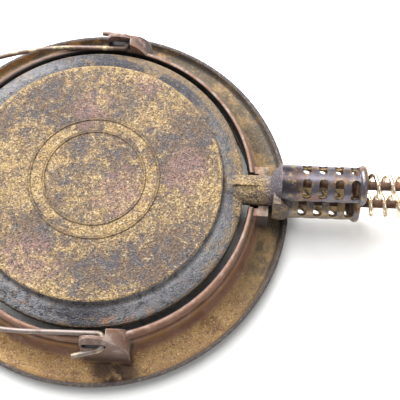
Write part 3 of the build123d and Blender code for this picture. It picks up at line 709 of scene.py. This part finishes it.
def base_paint(name, finish):
    """Brown collar, golden speckled gutter, dark rim, pale edges of wear and painted highlight, and
    painted shade in crevices, inside the collar, in the slots and on the far side.
    """
    paint = Paint(name)
    height = paint.z
    cast = base_grain(paint)
    zone = base_zones(paint)
    worn = paint.worn_edge(0.0012) * height.smooth(RIM_Z, RIM_Z + 0.0040)
    post_sides = zone.saddle * height.smooth(POST_TOP + 0.0002, POST_TOP - 0.0015)
    post_tops = zone.saddle * height.smooth(POST_TOP - 0.0010, POST_TOP - 0.0002)
    # painted shade: black on the inner wall on the far side
    black_wall = zone.inner * zone.beyond * paint.x.smooth(-0.075, -0.010)
    shades = paint.layers(
        collar_skin(paint, finish, cast),
        *gutter_coats(paint, finish, cast, zone),
        *crest_coats(paint, finish, cast, zone),
        *ear_coats(paint, finish, cast, zone),
        # edge wear and painted highlight: pale along the edges
        (worn * cast.small.smooth(0.36, 0.52) * (0.75 + zone.ear * 0.25), finish.pale),
        # painted shade: the sides of the saddle posts darkened with the rim grey
        (post_sides * 0.75, finish.rim),
        # painted highlight, with wear: pale on the tops of the posts
        (post_tops * cast.small.smooth(0.42, 0.58) * 0.5, finish.pale),
        # painted shade: corners and crevices darkened with the rim grey
        (paint.crevice(0.008).smooth(0.30, 0.85) * 0.85, finish.rim),
        # painted shade: the foot of the rim darker on the far side
        (zone.rim_foot * zone.far * 0.8, finish.soot),
        (zone.rim * 0.92, finish.rim),
        (zone.rim * cast.fleck.smooth(0.50, 0.66) * 0.35, finish.pale),
        # soot on the inner wall, darkened further as painted shade
        (zone.inner * 0.95, finish.soot),
        (black_wall * 0.97, finish.char),
        # painted shade: black in the slots through the ears
        (zone.slot * 0.92, finish.char),
        (height.smooth(UNDER_Z, UNDER_Z - 0.0015), finish.rim),
    )
    rough = 0.62 - zone.crest * 0.15 + (cast.grain - 0.5) * 0.3
    bump = cast.small * 0.8 + cast.grain * (0.4 + zone.gutter) + cast.sand * zone.gutter * 0.5
    return paint.surface(shades, rough, bump=bump, depth=finish.relief, specular=0.3, edge=0.0008)


def ferrule_paint(name, finish, axis_z, seed, film_limit, tint):
    """Tarnished steel with soft heat patches and worn yellow film; the bore is painted straw as light
    falling in through the slots, with soot patches and a dry rough finish.
    """
    paint = Paint(name)
    cloud = paint.noise(finish.patch, detail=4.0, rough=0.6, bend=0.4, shift=seed)
    film = paint.noise(finish.patch * 0.6, detail=4.0, rough=0.65, shift=seed + 4.4)
    grit = paint.noise(0.0016, detail=3.0, rough=0.75, shift=seed + 6.1)
    rise = paint.z - axis_z
    from_axis = (paint.y * paint.y + rise * rise).math("SQRT")
    bore = from_axis.smooth(BORE_R + 0.0013, BORE_R + 0.0006)
    by_castings = paint.x.smooth(FERRULE_X + 0.0191, FERRULE_X + 0.0021)
    shades = paint.layers(
        finish.steel,
        (cloud.smooth(0.45, 0.60) * 0.85, finish.brown),
        # heat tint by the castings, partly painted shade at the root of the handle
        (by_castings * tint, finish.blued),
        ((film * 0.7 + grit * 0.3).smooth(film_limit, film_limit + 0.12) * 0.65, finish.straw),
        # painted light: the bore painted straw where light falls in through the slots
        (bore, finish.straw),
        (bore * film.smooth(0.50, 0.42) * 0.8, finish.soot),
        (grit.smooth(0.44, 0.32) * 0.55, finish.brown),
        # painted shade: corners and crevices darkened with the soot colour
        (paint.crevice(0.006).smooth(0.3, 0.8) * 0.8, finish.soot),
    )
    rough = 0.14 + film * 0.24 + grit * 0.12 + bore * 0.35
    metal = 0.75 - bore * 0.65
    bump = film * 0.6 + grit * 0.4
    return paint.surface(shades, rough, metal=metal, bump=bump, depth=0.00018, edge=0.0005)


def coil_paint(name, finish):
    """Bright plated wire with a brown film in places."""
    paint = Paint(name)
    film = paint.noise(0.005, detail=4.0, rough=0.6, bend=0.4, shift=1.9)
    grit = paint.noise(0.0009, detail=3.0, rough=0.7, shift=3.3)
    shades = paint.layers(
        finish.plate,
        (film.smooth(0.50, 0.64) * 0.8, finish.stain),
        (grit.smooth(0.40, 0.28) * 0.5, finish.stain),
    )
    rough = 0.14 + film * 0.18
    return paint.surface(shades, rough, metal=1.0, bump=grit, depth=0.00003)


def fitting_paint(name, finish):
    """Rusted steel of rods, nuts, washers and pin."""
    paint = Paint(name)
    film = paint.noise(0.005, detail=5.0, rough=0.65, shift=2.7)
    grit = paint.noise(0.0013, detail=3.0, rough=0.75, shift=5.5)
    shades = paint.layers(finish.rust, ((film * 0.6 + grit * 0.4).smooth(0.48, 0.60), finish.crust))
    return paint.surface(shades, 0.55 + grit * 0.25, metal=0.2, bump=grit, depth=0.00015)


def bail_paint(name, finish):
    """Drawn wire, brown-grey with rubbed yellow places."""
    paint = Paint(name)
    film = paint.noise(0.014, detail=4.0, rough=0.6, bend=0.3, shift=6.5)
    rust = paint.noise(0.006, detail=4.0, rough=0.65, shift=2.5)
    grit = paint.noise(0.0012, detail=3.0, rough=0.75, shift=0.9)
    far_leg = paint.y.smooth(0.020, 0.080)
    shades = paint.layers(
        finish.wire,
        ((film * 0.75 + grit * 0.25).smooth(0.50, 0.62), finish.straw),
        ((rust * 0.7 + grit * 0.3).smooth(0.50, 0.40) * 0.7, finish.rust),
        (far_leg * (rust * 0.7 + grit * 0.3).smooth(0.58, 0.50) * 0.75, finish.rust),
    )
    return paint.surface(shades, 0.36 + film * 0.2, metal=0.35, bump=grit, depth=0.0001)


# ---------------------------------------------------------------- operators
def make_floor(settings):
    """A wide plain floor at the height of the foot."""
    bpy.ops.object.select_all(action="DESELECT")
    bpy.ops.mesh.primitive_plane_add(size=FLOOR_WIDTH, location=(0.0, 0.0, 0.0))
    floor = bpy.context.object
    floor.name = "floor"
    paper = bpy.data.materials.new("floor_paper")
    paper.use_nodes = True
    shader = paper.node_tree.nodes["Principled BSDF"]
    shader.inputs["Base Color"].default_value = (*settings.floor, 1.0)
    shader.inputs["Roughness"].default_value = 0.9
    floor.data.materials.append(paper)


def make_lights(settings):
    """Even white light from all round, and square lamps aimed at the middle of the base."""
    world = bpy.data.worlds.new("even_sky")
    bpy.context.scene.world = world
    world.use_nodes = True
    sky = world.node_tree.nodes["Background"]
    sky.inputs["Color"].default_value = (1.0, 1.0, 1.0, 1.0)
    sky.inputs["Strength"].default_value = settings.sky
    for name, setting, width, place in LAMPS:
        bpy.ops.object.light_add(type="AREA", location=place)
        lamp = bpy.context.object
        lamp.name = name
        lamp.data.energy = getattr(settings, setting)
        lamp.data.size = width
        aim = -lamp.location
        lamp.rotation_euler = aim.to_track_quat("-Z", "Y").to_euler()


def make_camera(settings):
    """The camera, looking down at the handle side."""
    rotation = (settings.tilt, 0.0, settings.turn)
    bpy.ops.object.camera_add(location=settings.eye, rotation=rotation)
    camera = bpy.context.object
    camera.name = "camera"
    camera.data.lens = settings.lens
    camera.data.sensor_width = SENSOR_MM
    camera.data.clip_start = NEAREST_SEEN
    bpy.context.scene.camera = camera
    bpy.context.scene.view_settings.view_transform = "Standard"


class WAFFLE_OT_stage(bpy.types.Operator):
    """Build the floor, the lamps and the camera"""

    bl_idname = "waffle.stage"
    bl_label = "Stage"

    def execute(self, context):
        settings = context.scene.waffle_stage
        make_floor(settings)
        make_lights(settings)
        make_camera(settings)
        return {"FINISHED"}


class WAFFLE_OT_paddles(bpy.types.Operator):
    """Finish both cast paddles"""

    bl_idname = "waffle.paddles"
    bl_label = "Paddles"

    def execute(self, context):
        finish = context.scene.waffle_paddles
        for hand in HANDS:
            paint = paddle_paint(f"{hand}_iron_paint", finish, PADDLE_SEEDS[hand])
            coat(paint, f"{hand}_paddle")
        return {"FINISHED"}


class WAFFLE_OT_base(bpy.types.Operator):
    """Finish the cast base ring"""

    bl_idname = "waffle.base"
    bl_label = "Base"

    def execute(self, context):
        coat(base_paint("base_iron_paint", context.scene.waffle_base), "base_ring")
        return {"FINISHED"}


class WAFFLE_OT_ferrules(bpy.types.Operator):
    """Finish the vented ferrules"""

    bl_idname = "waffle.ferrules"
    bl_label = "Ferrules"

    def execute(self, context):
        finish = context.scene.waffle_ferrules
        for hand in HANDS:
            low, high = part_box(f"{hand}_ferrule")
            axis_z = (low[2] + high[2]) / 2
            paint = ferrule_paint(f"{hand}_ferrule_paint", finish, axis_z, *FERRULE_LOOKS[hand])
            coat(paint, f"{hand}_ferrule")
        return {"FINISHED"}


class WAFFLE_OT_coils(bpy.types.Operator):
    """Finish the coil grips"""

    bl_idname = "waffle.coils"
    bl_label = "Coil grips"

    def execute(self, context):
        paint = coil_paint("coil_paint", context.scene.waffle_coils)
        coat(paint, *(f"{hand}_coil_grip" for hand in HANDS))
        return {"FINISHED"}


class WAFFLE_OT_fittings(bpy.types.Operator):
    """Finish the rods, nuts, washers and hinge pin"""

    bl_idname = "waffle.fittings"
    bl_label = "Fittings"

    def execute(self, context):
        paint = fitting_paint("rod_paint", context.scene.waffle_fittings)
        kinds = ("rod", "mouth_washer", "lock_nut", "end_washer", "cap_nut")
        coat(paint, "hinge_pin", *(f"{hand}_{kind}" for hand in HANDS for kind in kinds))
        return {"FINISHED"}


class WAFFLE_OT_bail(bpy.types.Operator):
    """Finish the wire bail"""

    bl_idname = "waffle.bail"
    bl_label = "Bail"

    def execute(self, context):
        coat(bail_paint("bail_paint", context.scene.waffle_bail), "bail")
        return {"FINISHED"}


class WAFFLE_PT_panel(bpy.types.Panel):
    """The tab that lists the settings and the steps"""

    bl_idname = "WAFFLE_PT_panel"
    bl_label = "Waffle Iron"
    bl_space_type = "VIEW_3D"
    bl_region_type = "UI"
    bl_category = "Waffle Iron"

    def draw(self, context):
        for operator, group in STEPS:
            box = self.layout.box()
            box.operator(operator.bl_idname)
            settings = getattr(context.scene, group)
            for name in settings.bl_rna.properties.keys():
                if name not in ("rna_type", "name"):
                    box.prop(settings, name)


GROUPS = {
    "waffle_stage": StageSettings,
    "waffle_paddles": PaddleFinish,
    "waffle_base": BaseFinish,
    "waffle_ferrules": FerruleFinish,
    "waffle_coils": CoilFinish,
    "waffle_fittings": FittingFinish,
    "waffle_bail": BailFinish,
}
STEPS = (
    (WAFFLE_OT_stage, "waffle_stage"),
    (WAFFLE_OT_paddles, "waffle_paddles"),
    (WAFFLE_OT_base, "waffle_base"),
    (WAFFLE_OT_ferrules, "waffle_ferrules"),
    (WAFFLE_OT_coils, "waffle_coils"),
    (WAFFLE_OT_fittings, "waffle_fittings"),
    (WAFFLE_OT_bail, "waffle_bail"),
)
CLASSES = (*GROUPS.values(), *(operator for operator, _ in STEPS), WAFFLE_PT_panel)


def register():
    """Make the settings, the steps and the panel known to Blender."""
    for kind in CLASSES:
        bpy.utils.register_class(kind)
    for name, kind in GROUPS.items():
        setattr(bpy.types.Scene, name, bpy.props.PointerProperty(type=kind))


def unregister():
    """Take them away again."""
    for name in GROUPS:
        delattr(bpy.types.Scene, name)
    for kind in reversed(CLASSES):
        bpy.utils.unregister_class(kind)


def main():
    """Run every step in order."""
    register()
    bpy.ops.waffle.stage()
    bpy.ops.waffle.paddles()
    bpy.ops.waffle.base()
    bpy.ops.waffle.ferrules()
    bpy.ops.waffle.coils()
    bpy.ops.waffle.fittings()
    bpy.ops.waffle.bail()


if __name__ == "__main__":
    main()
